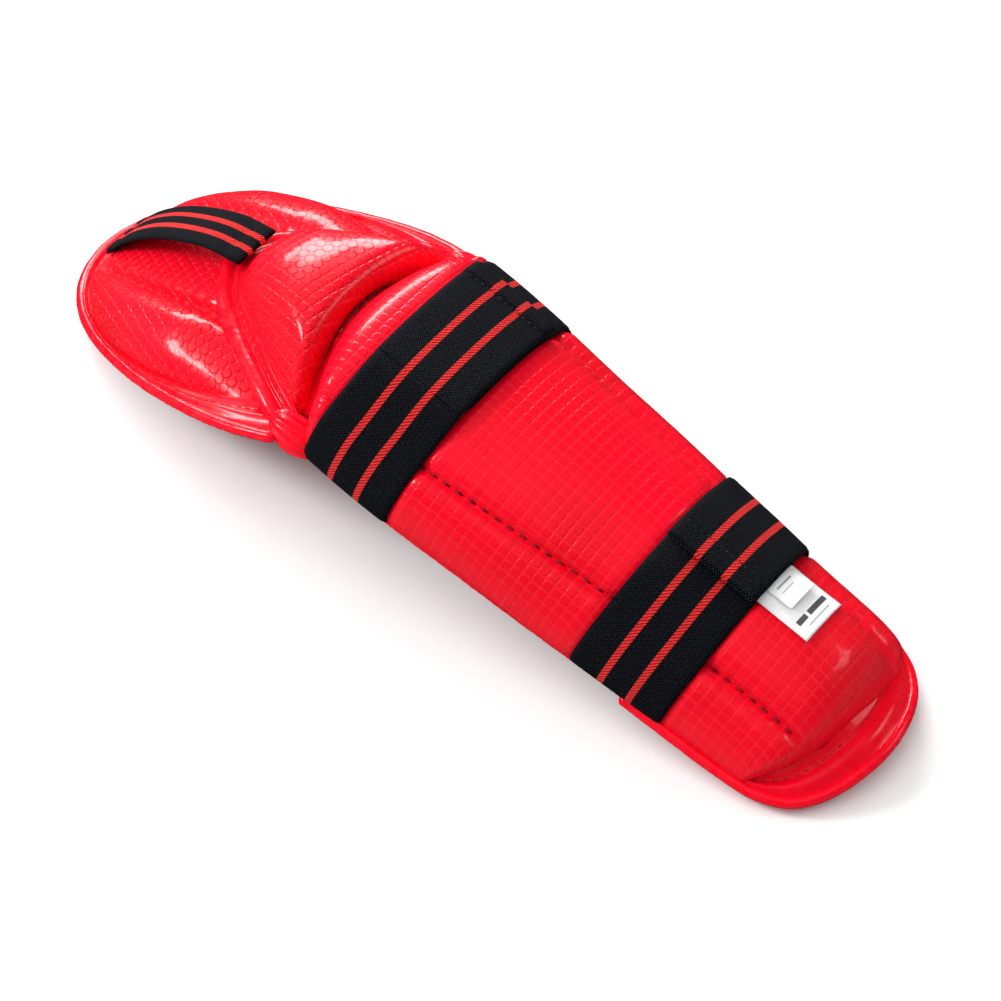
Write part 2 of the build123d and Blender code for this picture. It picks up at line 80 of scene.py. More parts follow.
# Stations near those of the CAD: x, edge height, edge half-width, groove half-width,
# groove height, crown height, side bulge and wall thickness.
FOREARM = [
    (-21.5, 0.0, 50.5, 44.0, 22.5, 28.0, 3.2, 11.0),
    (-10.0, 0.0, 52.3, 43.5, 25.5, 33.6, 3.8, 13.0),
    (5.0, 0.0, 53.8, 42.8, 24.6, 36.0, 4.6, 13.0),
    (20.0, 0.0, 54.3, 41.6, 24.0, 36.6, 5.0, 13.0),
    (80.0, 0.0, 51.3, 35.8, 24.0, 37.0, 5.0, 13.0),
    (143.0, 0.0, 46.8, 29.6, 24.0, 36.8, 5.0, 13.0),
    (180.0, 0.0, 43.8, 26.8, 23.6, 36.2, 5.0, 13.0),
    (198.0, 0.0, 42.7, 26.4, 22.9, 34.9, 5.0, 12.5),
    (206.0, 0.0, 42.0, 26.2, 21.0, 31.8, 4.8, 11.0),
    (212.5, 0.0, 41.0, 25.8, 17.0, 25.0, 4.0, 8.0),
    (216.5, 0.0, 39.6, 24.8, 12.8, 17.0, 2.5, 4.0),
]
BRIDGE = [
    (-69.5, -7.0, 12.5, 8.0, 10.5, 13.0, 1.5, 7.0),
    (-62.0, -6.5, 18.5, 12.0, 19.0, 22.0, 2.5, 10.0),
    (-52.0, -5.0, 25.0, 16.5, 24.5, 27.8, 3.0, 10.0),
    (-38.0, -1.5, 33.0, 23.0, 26.5, 30.0, 3.0, 10.0),
    (-26.0, 1.0, 40.0, 30.0, 25.5, 29.4, 3.0, 10.0),
    (-14.0, 2.0, 46.5, 37.5, 23.5, 27.5, 2.5, 10.0),
    (-5.0, 2.0, 48.5, 41.0, 19.5, 22.5, 2.0, 9.0),
]
CAP = [
    (-139.5, 0.0, 8.0, 5.5, 2.2, 2.8, 0.6, 1.5),
    (-135.0, 0.0, 20.5, 14.0, 5.0, 6.6, 2.6, 4.0),
    (-126.0, 0.0, 31.5, 19.5, 8.0, 11.0, 5.6, 7.0),
    (-110.0, 0.0, 42.3, 22.0, 10.5, 15.0, 8.2, 9.5),
    (-90.0, 0.0, 49.5, 23.4, 12.2, 17.8, 9.8, 10.0),
    (-66.0, 0.0, 52.5, 23.8, 13.0, 19.2, 9.6, 10.0),
    (-46.0, 0.0, 52.3, 24.4, 11.6, 17.6, 6.5, 9.5),
    (-25.0, 0.0, 51.0, 26.5, 8.0, 14.0, 2.5, 8.0),
    (-14.0, 0.0, 49.0, 27.5, 5.5, 10.5, 0.8, 7.0),
]
CREASE_CENTRE_X = -21.5
CREASE_SIDE_X = -7.0
CREASE_SPAN = 53.0
STRAP_WIDTH = 40.0
STRAP_STARTS = (0.0, 123.5)

def cubic(known, values, slopes, x):
    """Smooth values at every x, from those and their slopes at a few known places."""
    i = np.clip(np.searchsorted(known, x) - 1, 0, len(known) - 2)
    gap = np.diff(known)[i][:, None]
    t = (x - known[i])[:, None] / gap
    start = values[i] * (1 + 2 * t) * (1 - t) ** 2 + slopes[i] * gap * t * (1 - t) ** 2
    end = values[i + 1] * t**2 * (3 - 2 * t) + slopes[i + 1] * gap * t**2 * (t - 1)
    return start + end

def smooth_through(stations, x):
    """Section values at every x, smooth and without overshoot between the stations."""
    table = np.array(sorted(stations))
    known, values = table[:, 0], table[:, 1:]
    secants = np.diff(values, axis=0) / np.diff(known)[:, None]
    slopes = np.zeros_like(values)
    product = secants[1:] * secants[:-1]
    total = secants[1:] + secants[:-1]
    safe = np.where(total == 0, 1, total)
    slopes[1:-1] = np.where(product > 0, 2 * product / safe, 0)
    slopes[0], slopes[-1] = secants[0], secants[-1]
    return cubic(known, values, slopes, np.clip(x, known[0], known[-1]))

def curve_through(points, count):
    """Evenly spaced points on a smooth curve through a few given ones."""
    points = np.array(points, float)
    lengths = np.linalg.norm(np.diff(points, axis=0), axis=1)
    along = np.concatenate(([0], np.cumsum(np.sqrt(lengths))))
    tangents = np.gradient(points, along, axis=0)
    fine = np.linspace(0, along[-1], 12 * count)
    return resample(cubic(along, points, tangents, fine), count)

def lengths_along(points):
    steps = np.linalg.norm(np.diff(points, axis=0), axis=1)
    return np.concatenate(([0], np.cumsum(steps)))

def resample(points, count):
    along = lengths_along(points)
    even = np.linspace(0, along[-1], count)
    return np.stack([np.interp(even, along, points[:, k]) for k in range(3)], axis=1)

def whole_curve(half, count):
    """Evenly spaced points on a curve, from its near half, which ends on the centre line."""
    return curve_through(half + [(x, -y, z) for x, y, z in reversed(half[:-1])], count)

def crease_x(y):
    share = np.minimum(np.abs(y) / CREASE_SPAN, 1.05)
    return CREASE_CENTRE_X + (CREASE_SIDE_X - CREASE_CENTRE_X) * share**2

def under_straps(x):
    """1 where a strap presses on the forearm pad, 0 clear of both."""
    pressed = np.zeros_like(x)
    for start in STRAP_STARTS:
        inside = np.minimum(x - start, start + STRAP_WIDTH - x)
        pressed = np.maximum(pressed, np.clip(inside / 5 + 0.6, 0, 1))
    return pressed * pressed * (3 - 2 * pressed)

def ripple(x, y, scale):
    """Slow, fixed unevenness of a stuffed surface, about -1 to 1."""
    a = np.sin(x / scale + 1.3 * np.sin(y / (1.4 * scale)) + 0.4)
    b = np.sin(y / (0.8 * scale) + 1.1 * np.sin(x / (1.7 * scale)) + 2.1)
    return 0.6 * a + 0.4 * b

def constant(value):
    """A function that gives the same value all along a line."""
    return lambda along: value + 0.0 * along

# ---------------------------------------------------------------- meshes
def add_object(name, data):
    """New object in the scene, with this mesh, light or camera."""
    thing = bpy.data.objects.new(name, data)
    bpy.context.scene.collection.objects.link(thing)
    return thing

def new_object(name, vertices, faces, material, uv=None):
    mesh = bpy.data.meshes.new(name)
    mesh.from_pydata([tuple(v) for v in vertices], [], faces)
    mesh.materials.append(material)
    if uv is not None:
        layer = mesh.uv_layers.new(name="skin")
        corners = np.zeros(len(mesh.loops), int)
        mesh.loops.foreach_get("vertex_index", corners)
        layer.data.foreach_set("uv", np.asarray(uv, float)[corners].ravel())
    mesh.polygons.foreach_set("use_smooth", [True] * len(mesh.polygons))
    mesh.validate()
    mesh.update()
    return add_object(name, mesh)

def face_outwards(thing):
    """Consistent outward normals on a closed piece."""
    bpy.context.view_layer.objects.active = thing
    bpy.ops.object.select_all(action="DESELECT")
    thing.select_set(True)
    bpy.ops.object.mode_set(mode="EDIT")
    bpy.ops.mesh.select_all(action="SELECT")
    bpy.ops.mesh.normals_make_consistent(inside=False)
    bpy.ops.object.mode_set(mode="OBJECT")
    return thing

def skin_faces(first, rows, count):
    """Faces over a row of closed loops, with filled ends, from one vertex number on."""
    faces = []
    for start in range(first, first + (rows - 1) * count, count):
        for j in range(count):
            a, b = start + j, start + (j + 1) % count
            faces.append((a, b, b + count, a + count))
    faces.append(tuple(first + j for j in reversed(range(count))))
    faces.append(tuple(first + (rows - 1) * count + j for j in range(count)))
    return faces

def loops_mesh(name, loops, datum, material, uv):
    """Closed skin over a row of closed loops."""
    vertices = datum.place(loops.reshape(-1, 3)) if datum else loops.reshape(-1, 3) * MM
    faces = skin_faces(0, *loops.shape[:2])
    return face_outwards(new_object(name, vertices, faces, material, uv))

SIDE_STEPS = 28
CENTRE_STEPS = 64
INNER_STEPS = 40

def even_ends(count):
    """0 to 1, closer together towards both ends."""
    return (1 - np.cos(np.linspace(0, pi, count))) / 2

SIDE = even_ends(SIDE_STEPS)
CENTRE = 2 * even_ends(CENTRE_STEPS)[1:-1] - 1
OUTER_COUNT = 2 * SIDE_STEPS + len(CENTRE)
NEAR_GROOVE, FAR_GROOVE = SIDE_STEPS - 1, OUTER_COUNT - SIDE_STEPS

def crown_fullness(share):
    """Height of the crown across the centre channel: 1 in the middle, 0 at the seams."""
    return np.maximum(1 - np.abs(share) ** 2.3, 0) ** 0.8

def outer_line(values):
    """Outer points from the near edge to the far edge; each has its own station values."""
    base, edge, groove_y, groove_z, crown, bulge, _ = values.T
    lean = np.hypot(edge - groove_y, groove_z)
    swell = bulge / lean
    y, z = np.zeros(OUTER_COUNT), np.zeros(OUTER_COUNT)
    sides = ((slice(0, SIDE_STEPS), SIDE, -1), (slice(FAR_GROOVE, None), SIDE[::-1], 1))
    for part, t, side in sides:
        full = swell[part] * np.maximum(1 - np.abs(2 * t - 1) ** 2.4, 0) ** 0.7
        y[part] = side * (edge[part] - (edge - groove_y)[part] * t + groove_z[part] * full)
        z[part] = base[part] + groove_z[part] * t + (edge - groove_y)[part] * full
    middle = slice(SIDE_STEPS, FAR_GROOVE)
    y[middle] = groove_y[middle] * CENTRE
    z[middle] = (base + groove_z)[middle] + (crown - groove_z)[middle] * crown_fullness(CENTRE)
    return y, z

WALL_LEAN = 0.8

def inner_half_width(values):
    """Half-width of the arch between the two walls, which lean inwards."""
    return values[:, 1] - WALL_LEAN * values[:, 6]

def arch_height(y, values):
    """Height of the arch that runs over the arm."""
    base, _, _, _, crown, _, wall = values.T
    half_width, rise = inner_half_width(values), np.maximum(crown - wall, 1.0)
    radius = (half_width**2 + rise**2) / (2 * rise)
    return base + rise - radius + np.sqrt(np.maximum(radius**2 - y**2, 0))

def stretched_row(shape, share, line_of, count):
    """x, y, z and station values of one row, where the two end lines may be curved."""
    start_x, end_x = shape.start_x, shape.end_x
    x = np.full(count, start_x(0.0) + (end_x(0.0) - start_x(0.0)) * share)
    for _ in range(5):
        y, z = line_of(smooth_through(shape.stations, x))
        x = start_x(y) + (end_x(y) - start_x(y)) * share
    return x, y, z, smooth_through(shape.stations, x)

def inner_row(shape, share, turn, inset=0.0):
    """x, y and z of one row of the arched inner face, at these shares of its half-width."""

    def line_of(values):
        return turn * (inner_half_width(values) - inset), np.zeros(len(turn))

    x, y, _, values = stretched_row(shape, share, line_of, len(turn))
    return x, y, arch_height(y, values)

class Shape:
    """Where a padded part begins and ends, and how its skin lies."""

    def __init__(self, datum, stations, start_x, end_x, rows, rounding):
        self.datum, self.stations, self.rows, self.rounding = datum, stations, rows, rounding
        self.start_x, self.end_x = start_x, end_x
        self.press = np.zeros_like
        self.pinch, self.pucker, self.soft = 1.7, 0.8, 0.35
        self.rounds = 0

def pillow(name, shape, material):
    """Padded body: crowned channels over an arched inner face, rounded at both ends.

    Also gives the lines of its two channel seams, near and far.
    """
    share_list = even_ends(shape.rows) * 0.6 + np.linspace(0, 1, shape.rows) * 0.4
    loops, uv, grooves = [], [], ([], [])
    for share in share_list:
        x, y, z, values = stretched_row(shape, share, outer_line, OUTER_COUNT)
        edge, groove_y, groove_z = values[:, 1], values[:, 2], values[:, 3]
        inner_y = y * np.minimum(inner_half_width(values) / np.maximum(edge, np.abs(y)), 1)
        inner_z = arch_height(inner_y, values)
        reach = np.hypot(y - inner_y, z - inner_z)
        out_y, out_z = (y - inner_y) / reach, (z - inner_z) / reach
        from_seam = np.hypot(np.abs(y) - groove_y, z - values[:, 0] - groove_z)
        gather = 0.5 + 0.5 * np.sin(2 * pi * x / 7.5 + 1.2 * np.sin(x / 13) + np.sign(y))
        depth = shape.pinch * np.exp(-((from_seam / 2.4) ** 2))
        depth = depth + shape.pucker * gather * np.exp(-from_seam / 4.0) * np.minimum(from_seam / 2, 1)
        depth = depth + shape.press(x)
        depth = depth - shape.soft * ripple(x, 1.1 * y + z, 14.0)
        full = np.ones_like(x)
        for distance, radius in (
            (np.abs(x - shape.start_x(y)), shape.rounding[0]),
            (np.abs(shape.end_x(y) - x), shape.rounding[1]),
        ):
            near = np.clip(1 - distance / (radius * (1 - 0.5 * np.minimum(np.abs(y) / 50, 1) ** 2)), 0, 1)
            full = np.minimum(full, np.sqrt(np.maximum(1 - near**2.2, 0.002)))
        fat = np.maximum((reach - depth) * full, 0.3)
        y, z = inner_y + out_y * fat, inner_z + out_z * fat
        for _ in range(shape.rounds):
            y[1:-1] = (y[:-2] + 2 * y[1:-1] + y[2:]) / 4
            z[1:-1] = (z[:-2] + 2 * z[1:-1] + z[2:]) / 4
        for line, index in zip(grooves, (NEAR_GROOVE, FAR_GROOVE)):
            line.append((x[index], y[index], z[index]))
        arch_x, arch_y, arch_z = inner_row(shape, share, 1 - 2 * np.linspace(0, 1, INNER_STEPS))
        ring_x = np.concatenate((x, arch_x))
        ring_y = np.concatenate((y, arch_y))
        ring_z = np.concatenate((z, arch_z - 0.2))
        loops.append(np.column_stack((ring_x, ring_y, ring_z)))
        steps = np.hypot(np.diff(ring_y), np.diff(ring_z))
        across = np.concatenate(([0], np.cumsum(steps)))
        uv.append(np.column_stack((ring_x, across - across[OUTER_COUNT // 2])))
    piece = loops_mesh(name, np.array(loops), shape.datum, material, np.concatenate(uv))
    return piece, [np.array(line) for line in grooves]

LINING_THICKNESS = 0.9
LINING_INSET = 1.0
LINING_DROP = 0.5

def lining(name, shape, material, last_share):
    """Thin knitted lining over the arched inner face, a little quilted."""
    loops, uv = [], []
    turn = 2 * np.linspace(0, 1, 46) - 1
    for share in np.linspace(0.012, last_share, 60):
        x, y, arch = inner_row(shape, share, turn, LINING_INSET)
        z = arch - LINING_DROP - 0.3 * (1 + ripple(x, y, 9.0))
        upper = np.column_stack((x, y, z))
        lower = upper[::-1] - (0, 0, LINING_THICKNESS)
        loops.append(np.concatenate((upper, lower)))
        across = np.concatenate((y, y[::-1]))
        uv.append(np.column_stack((np.concatenate((x, x)), across)))
    return loops_mesh(name, np.array(loops), shape.datum, material, np.concatenate(uv))

def frames_along(path):
    """Side and up vectors along a path, without twist."""
    tangents = np.gradient(path, axis=0)
    tangents /= np.linalg.norm(tangents, axis=1)[:, None]
    side = unit(np.cross(tangents[0], (0.0, 0.0, 1.0)))
    sides, ups = [], []
    for tangent in tangents:
        side = unit(side - tangent * (side @ tangent))
        sides.append(side)
        ups.append(np.cross(tangent, side))
    return np.array(sides), np.array(ups)

TUBE_SEGMENTS = 16

def tube(name, datum, path, radius, material, flatten=1.0, wrinkle=0.0):
    """Round or flattened cord along a path, with rounded ends."""
    sides, ups = frames_along(path)
    angles = np.linspace(0, 2 * pi, TUBE_SEGMENTS, endpoint=False)
    steps = lengths_along(path)
    ends = np.minimum(steps, steps[-1] - steps) / radius
    cover = np.sqrt(np.clip(1 - (1 - np.clip(ends, 0, 1)) ** 2, 0.02, 1))
    loops = []
    for i, centre in enumerate(path):
        reach = radius * (1 + wrinkle * np.sin(steps[i] / 1.7) * np.sin(steps[i] / 0.9 + angles))
        reach = reach * cover[i]
        ring = np.outer(np.cos(angles) * reach, sides[i]) + np.outer(np.sin(angles) * reach * flatten, ups[i])
        loops.append(centre + ring)
    uv = np.column_stack((np.repeat(steps, TUBE_SEGMENTS), np.tile(angles * radius, len(path))))
    return loops_mesh(name, np.array(loops), datum, material, uv)

def margin(name, datum, inner, outer, thickness, ridge, material, rows=16, ripple_size=0.25):
    """Sewn margin between two curves, with ridges where it is stitched."""
    count = len(inner)
    along = lengths_along(outer)
    t = np.linspace(0, 1, rows)
    top = inner[:, None] + (outer - inner)[:, None] * t[None, :, None]
    shape = ridge(t)[None, :] + ripple_size * ripple(along[:, None], 9 * t[None, :], 4.3) * np.sin(pi * t)
    upper = top.copy()
    upper[:, :, 2] += thickness / 2 + shape
    lower = top[:, ::-1].copy()
    lower[:, :, 2] -= thickness / 2
    loops = np.concatenate((upper, lower), axis=1)
    width = np.linalg.norm(outer - inner, axis=1).mean()
    across = np.concatenate((t, t[::-1])) * width
    uv = np.column_stack((np.repeat(along, 2 * rows), np.tile(across, count)))
    return loops_mesh(name, loops, datum, material, uv)

def stitches(name, datum, path, length, gap, radius, material, lift=0.0):
    """Row of separate thread stitches, each a little arch with buried ends."""
    steps = lengths_along(path)
    vertices, faces = [], []
    segments, rings = 7, 6
    start = gap
    while start + length < steps[-1]:
        t = np.linspace(start, start + length, rings)
        centre = np.stack([np.interp(t, steps, path[:, k]) for k in range(3)], axis=1)
        centre[:, 2] += lift + radius * 0.9 * np.sin(np.linspace(0, pi, rings)) - radius * 0.5
        sides, ups = frames_along(centre)
        first = len(vertices)
        for i in range(rings):
            r = radius * (0.55 + 0.45 * sin(pi * i / (rings - 1)))
            for k in range(segments):
                angle = 2 * pi * k / segments
                vertices.append(centre[i] + r * (cos(angle) * sides[i] + sin(angle) * ups[i]))
        faces.extend(skin_faces(first, rings, segments))
        start += length + gap
    placed = datum.place(np.array(vertices))
    return new_object(name, placed, faces, material)

# ---------------------------------------------------------------- taut bands
HULL_CENTRE_Z = 14.0
STRAP_FLOOR_Z = -2.2
ANGLES = 720
BAND_CUP = 0.25

def hull(points):
    """Convex outline of some points in the plane, anticlockwise."""
    points = points[np.lexsort((points[:, 1], points[:, 0]))]

    def chain(run):
        kept = []
        for p in run:
            while len(kept) > 1:
                turn = np.cross(kept[-1] - kept[-2], p - kept[-2])
                if turn > 0:
                    break
                kept.pop()
            kept.append(p)
        return kept[:-1]

    return np.array(chain(points) + chain(points[::-1]))

def strap_reach(x):
    """Distance of a taut strap from the centre line at every angle, round one section."""
    values = smooth_through(FOREARM, np.full(OUTER_COUNT, x))
    y, z = outer_line(values)
    edge = values[0, 1]
    floor = [(-edge + 4, STRAP_FLOOR_Z), (edge - 4, STRAP_FLOOR_Z)]
    corners = hull(np.concatenate((np.column_stack((y, z)), floor)) - (0, HULL_CENTRE_Z))
    along = np.roll(corners, -1, axis=0) - corners
    normals = np.column_stack((along[:, 1], -along[:, 0]))
    normals /= np.linalg.norm(normals, axis=1)[:, None]
    distances = (normals * corners).sum(axis=1)
    angles = np.linspace(0, 2 * pi, ANGLES, endpoint=False)
    directions = np.column_stack((np.cos(angles), np.sin(angles)))
    facing = directions @ normals.T
    reach = np.where(facing > 1e-6, distances / np.maximum(facing, 1e-6), 1e9).min(axis=1)
    blur = np.hanning(15)
    padded = np.concatenate((reach[-7:], reach, reach[:7]))
    return np.convolve(padded, blur / blur.sum(), mode="valid")

class Loop:
    """The way round the pad under one strap: points at a distance from its start."""

    def __init__(self, start_x):
        self.start_x = start_x
        self.v = np.linspace(0, 1, 15)
        self.reach = np.array([strap_reach(start_x + STRAP_WIDTH * v) for v in self.v])
        self.angles = np.linspace(0, 2 * pi, ANGLES, endpoint=False)
        middle = self.reach[len(self.v) // 2]
        ring = np.column_stack((np.cos(self.angles) * middle, np.sin(self.angles) * middle))
        steps = np.linalg.norm(np.roll(ring, -1, axis=0) - ring, axis=1)
        self.along = np.concatenate(([0], np.cumsum(steps)))
        self.length = self.along[-1]
        self.top_y, top = ring[:, 0], ring[:, 1] > 0
        self.top_order = np.argsort(np.where(top, self.top_y, 1e9))[: top.sum()]

    def at_y(self, y):
        """Distance round the loop of the point on top at y."""
        order = self.top_order
        return np.interp(y, self.top_y[order], self.along[:-1][order])

    def points(self, distances, lifts, v):
        """Points above the pad at these distances round, at the share v of the width."""
        angle = np.interp(distances % self.length, self.along, np.append(self.angles, 2 * pi))
        rows = [np.interp(angle, self.angles, reach, period=2 * pi) for reach in self.reach]
        spread = np.array(rows)
        reach = np.array([np.interp(v, self.v, spread[:, i]) for i in range(len(angle))])
        tilt = np.gradient(reach, angle) / reach
        normal = angle - np.arctan(tilt)
        y = np.cos(angle) * reach + np.cos(normal) * lifts
        z = np.sin(angle) * reach + np.sin(normal) * lifts + HULL_CENTRE_Z
        x = np.full_like(y, self.start_x + STRAP_WIDTH * v)
        return np.column_stack((x, y, z))

def band(name, loop, start, end, lift, thickness, material, inset=0.0, count=150):
    """Woven band round the pad from one distance to another, lift a function of 0 to 1."""
    t = np.linspace(0, 1, count)
    distances = start + (end - start) * t
    width = np.linspace(inset / STRAP_WIDTH, 1 - inset / STRAP_WIDTH, 23)
    thick = thickness(t)
    rows_up, rows_down = [], []
    for v in width:
        side = np.clip(min(v - width[0], width[-1] - v) * STRAP_WIDTH / 1.2, 0, 1)
        edge = np.sqrt(1 - (1 - side) ** 2) * 0.75 + 0.25
        wave = BAND_CUP * np.sin(distances / 17 + 3 * v) * (v - 0.5)
        middle = lift(t) + thick / 2 + wave
        rows_up.append(loop.points(distances, middle + edge * thick / 2, v))
        rows_down.append(loop.points(distances, middle - edge * thick / 2, v))
    rings = np.concatenate((np.array(rows_up), np.array(rows_down)[::-1])).transpose(1, 0, 2)
    across = (width - 0.5) * STRAP_WIDTH
    uv_across = np.concatenate((across, across[::-1]))
    uv = np.column_stack((np.repeat(distances, len(uv_across)), np.tile(uv_across, count)))
    return loops_mesh(name, rings, pad, material, uv)

# ---------------------------------------------------------------- materials
class Nodes:
    """Short ways to add nodes to one material."""

    def __init__(self, name):
        self.material = bpy.data.materials.new(name)
        self.material.use_nodes = True
        self.tree = self.material.node_tree
        self.shader = self.tree.nodes["Principled BSDF"]

    def connect(self, socket, value):
        """Link another node's output to a socket, or set a plain value on it."""
        if isinstance(value, bpy.types.NodeSocket):
            self.tree.links.new(value, socket)
        else:
            socket.default_value = value

    def add(self, kind, inputs=(), **settings):
        node = self.tree.nodes.new(kind)
        for key, value in settings.items():
            setattr(node, key, value)
        for key, value in dict(inputs).items():
            self.connect(node.inputs[key], value)
        return node

    def math(self, operation, a, b=0.0):
        node = self.add("ShaderNodeMath", operation=operation)
        self.connect(node.inputs[0], a)
        self.connect(node.inputs[1], b)
        return node.outputs[0]

    def times(self, a, b):
        return self.math("MULTIPLY", a, b)

    def plus(self, a, b):
        return self.math("ADD", a, b)

    def wave(self, along, length):
        return self.math("SINE", self.times(along, 2 * pi / length))

    def ramp(self, value, low, high, out_low=0.0, out_high=1.0):
        inputs = {"Value": value, "From Min": low, "From Max": high}
        inputs.update({"To Min": out_low, "To Max": out_high})
        node = self.add("ShaderNodeMapRange", inputs, interpolation_type="SMOOTHSTEP")
        return node.outputs[0]

    def mix(self, share, a, b):
        node = self.add("ShaderNodeMix", data_type="RGBA")
        self.connect(node.inputs[0], share)
        for socket, value in ((node.inputs[6], a), (node.inputs[7], b)):
            linked = isinstance(value, bpy.types.NodeSocket)
            self.connect(socket, value if linked else (*value, 1))
        return node.outputs[2]

    def noise(self, vector, scale, detail=2.0):
        inputs = {"Vector": vector, "Scale": scale, "Detail": detail}
        return self.add("ShaderNodeTexNoise", inputs).outputs["Fac"]

    def skin(self, turn=0.0):
        uv = self.add("ShaderNodeUVMap", uv_map="skin").outputs[0]
        mapping = self.add("ShaderNodeMapping", {"Vector": uv})
        mapping.inputs["Rotation"].default_value = (0, 0, turn)
        return mapping.outputs[0]

    def place(self):
        return self.add("ShaderNodeTexCoord").outputs["Object"]

    def bump(self, height, strength, distance, normal=None):
        inputs = {"Height": height, "Strength": strength, "Distance": distance}
        if normal is not None:
            inputs["Normal"] = normal
        return self.add("ShaderNodeBump", inputs).outputs[0]

    def finish(self, **inputs):
        for key, value in inputs.items():
            self.connect(self.shader.inputs[key.replace("_", " ")], value)
        return self.material

RED = (0.92, 0.0014, 0.018)
DEEP_RED = (0.76, 0.0006, 0.011)
# Painted highlight: a paler red for the grooves between the vinyl's cells, standing in for light glinting
# along the cell edges.
GROOVE_HIGHLIGHT_RED = (0.95, 0.02, 0.045)
CELL = 4.1

def embossed_vinyl(name, turn, emboss):
    """Glossy red vinyl, pressed with rows of rounded square cells, with a painted highlight in the grooves
    between them.
    """
    n = Nodes(name)
    skin = n.skin(turn)
    cells = {"Vector": skin, "Scale": 1 / CELL, "Randomness": 0.0, "Exponent": 3.2}
    node = n.add("ShaderNodeTexVoronoi", cells, voronoi_dimensions="2D", distance="MINKOWSKI")
    cell = n.ramp(node.outputs["Distance"], 0.505, 0.36)
    worn = n.ramp(n.noise(n.place(), 26.0), 0.34, 0.62, 0.45, 1.0)
    raised = n.times(cell, worn)
    grain = n.noise(skin, 1.7, 4.0)
    creases = n.noise(n.place(), 130.0, 3.0)
    normal = n.bump(grain, 0.05, 0.0004)
    normal = n.bump(creases, 0.10, 0.0012, normal)
    normal = n.bump(raised, emboss, 0.00045, normal)
    patch = n.noise(n.place(), 14.0)
    colour = n.mix(n.ramp(patch, 0.3, 0.7), RED, DEEP_RED)
    # Painted highlight: the grooves between the cells are mixed a quarter of the way to the paler red
    # everywhere, in place of light glinting along the cell edges.
    colour = n.mix(n.times(n.math("SUBTRACT", 1.0, cell), 0.25), colour, GROOVE_HIGHLIGHT_RED)
    rough = n.ramp(patch, 0.3, 0.7, 0.25, 0.33)
    rough = n.plus(rough, n.times(grain, 0.06))
    return n.finish(
        Base_Color=colour, Roughness=rough, Normal=normal, IOR=1.45, Specular_IOR_Level=0.24,
        Coat_Weight=0.3, Coat_Roughness=0.1,
    )

def smooth_vinyl(name):
    """Plain soft vinyl of the margins and edge bindings, finely wrinkled."""
    n = Nodes(name)
    wrinkle = n.noise(n.place(), 240.0, 4.0)
    folds = n.noise(n.place(), 75.0, 2.0)
    normal = n.bump(folds, 0.22, 0.002)
    normal = n.bump(wrinkle, 0.10, 0.0006, normal)
    colour = n.mix(n.ramp(folds, 0.3, 0.8, 0.0, 0.6), RED, DEEP_RED)
    rough = n.ramp(wrinkle, 0.3, 0.7, 0.23, 0.37)
    return n.finish(
        Base_Color=colour, Roughness=rough, Normal=normal, Specular_IOR_Level=0.24,
        Coat_Weight=0.24, Coat_Roughness=0.1,
    )

def woven_elastic(name, stripe_places, fine=1.0):
    """Ribbed black elastic with red twill stripes woven along it."""
    n = Nodes(name)
    uv = n.add("ShaderNodeSeparateXYZ", {"Vector": n.skin()})
    along, across = uv.outputs[0], uv.outputs[1]
    weft = n.wave(along, 0.95 * fine)
    warp = n.wave(across, 1.25 * fine)
    knit = n.times(weft, warp)
    stripe = 0.0
    for place in stripe_places:
        away = n.math("ABSOLUTE", n.math("SUBTRACT", across, place))
        stripe = n.plus(stripe, n.ramp(away, 1.45, 1.15))
    twill = n.wave(n.plus(along, across), 1.5)
    fluff = n.noise(n.skin(), 1.5, 3.0)
    speck = n.ramp(n.plus(n.times(knit, 0.45), fluff), 0.5, 1.2)
    black = n.mix(speck, (0.0010, 0.0012, 0.0020), (0.036, 0.040, 0.056))
    red = n.mix(n.ramp(twill, -0.2, 0.9), (0.80, 0.035, 0.03), (0.26, 0.006, 0.008))
    colour = n.mix(stripe, black, red)
    height = n.plus(n.times(knit, 0.5), n.times(stripe, 0.6))
    height = n.plus(height, n.times(twill, n.times(stripe, 0.4)))
    height = n.plus(height, fluff)
    normal = n.bump(height, 0.75, 0.0004)
    return n.finish(
        Base_Color=colour, Roughness=n.ramp(fluff, 0.3, 0.7, 0.72, 0.92), Normal=normal,
        Specular_IOR_Level=0.12,
    )

def hook_tape(name, hooks):
    """Hook tape in small rows, or loop tape in tangled fluff."""
    n = Nodes(name)
    scale = 0.8 if hooks else 1.6
    cells = {"Vector": n.skin(), "Scale": scale, "Randomness": 0.25 if hooks else 1.0}
    rows = n.add("ShaderNodeTexVoronoi", cells, voronoi_dimensions="2D").outputs["Distance"]
    tangle = n.noise(n.place(), 900.0, 4.0)
    height = n.plus(n.ramp(rows, 0.0, 0.5, 1.0, 0.0), tangle)
    colour = n.mix(n.ramp(height, 0.3, 1.4), (0.003, 0.003, 0.004), (0.045, 0.046, 0.052))
    return n.finish(Base_Color=colour, Roughness=0.9, Normal=n.bump(height, 0.8, 0.0005))

def knitted_lining(name):
    """Black brushed knit of the inner face, with a small diamond stitch."""
    n = Nodes(name)
    skin = n.skin(radians(45))
    cells = {"Vector": skin, "Scale": 0.55, "Randomness": 0.12}
    loops = n.add("ShaderNodeTexVoronoi", cells, voronoi_dimensions="2D").outputs["Distance"]
    fluff = n.noise(n.place(), 650.0, 3.0)
    height = n.plus(n.ramp(loops, 0.05, 0.55, 1.0, 0.0), fluff)
    colour = n.mix(n.ramp(height, 0.4, 1.4), (0.006, 0.006, 0.008), (0.040, 0.042, 0.050))
    return n.finish(
        Base_Color=colour, Roughness=0.93, Normal=n.bump(height, 0.6, 0.0006), Sheen_Weight=0.25,
        Specular_IOR_Level=0.2,
    )

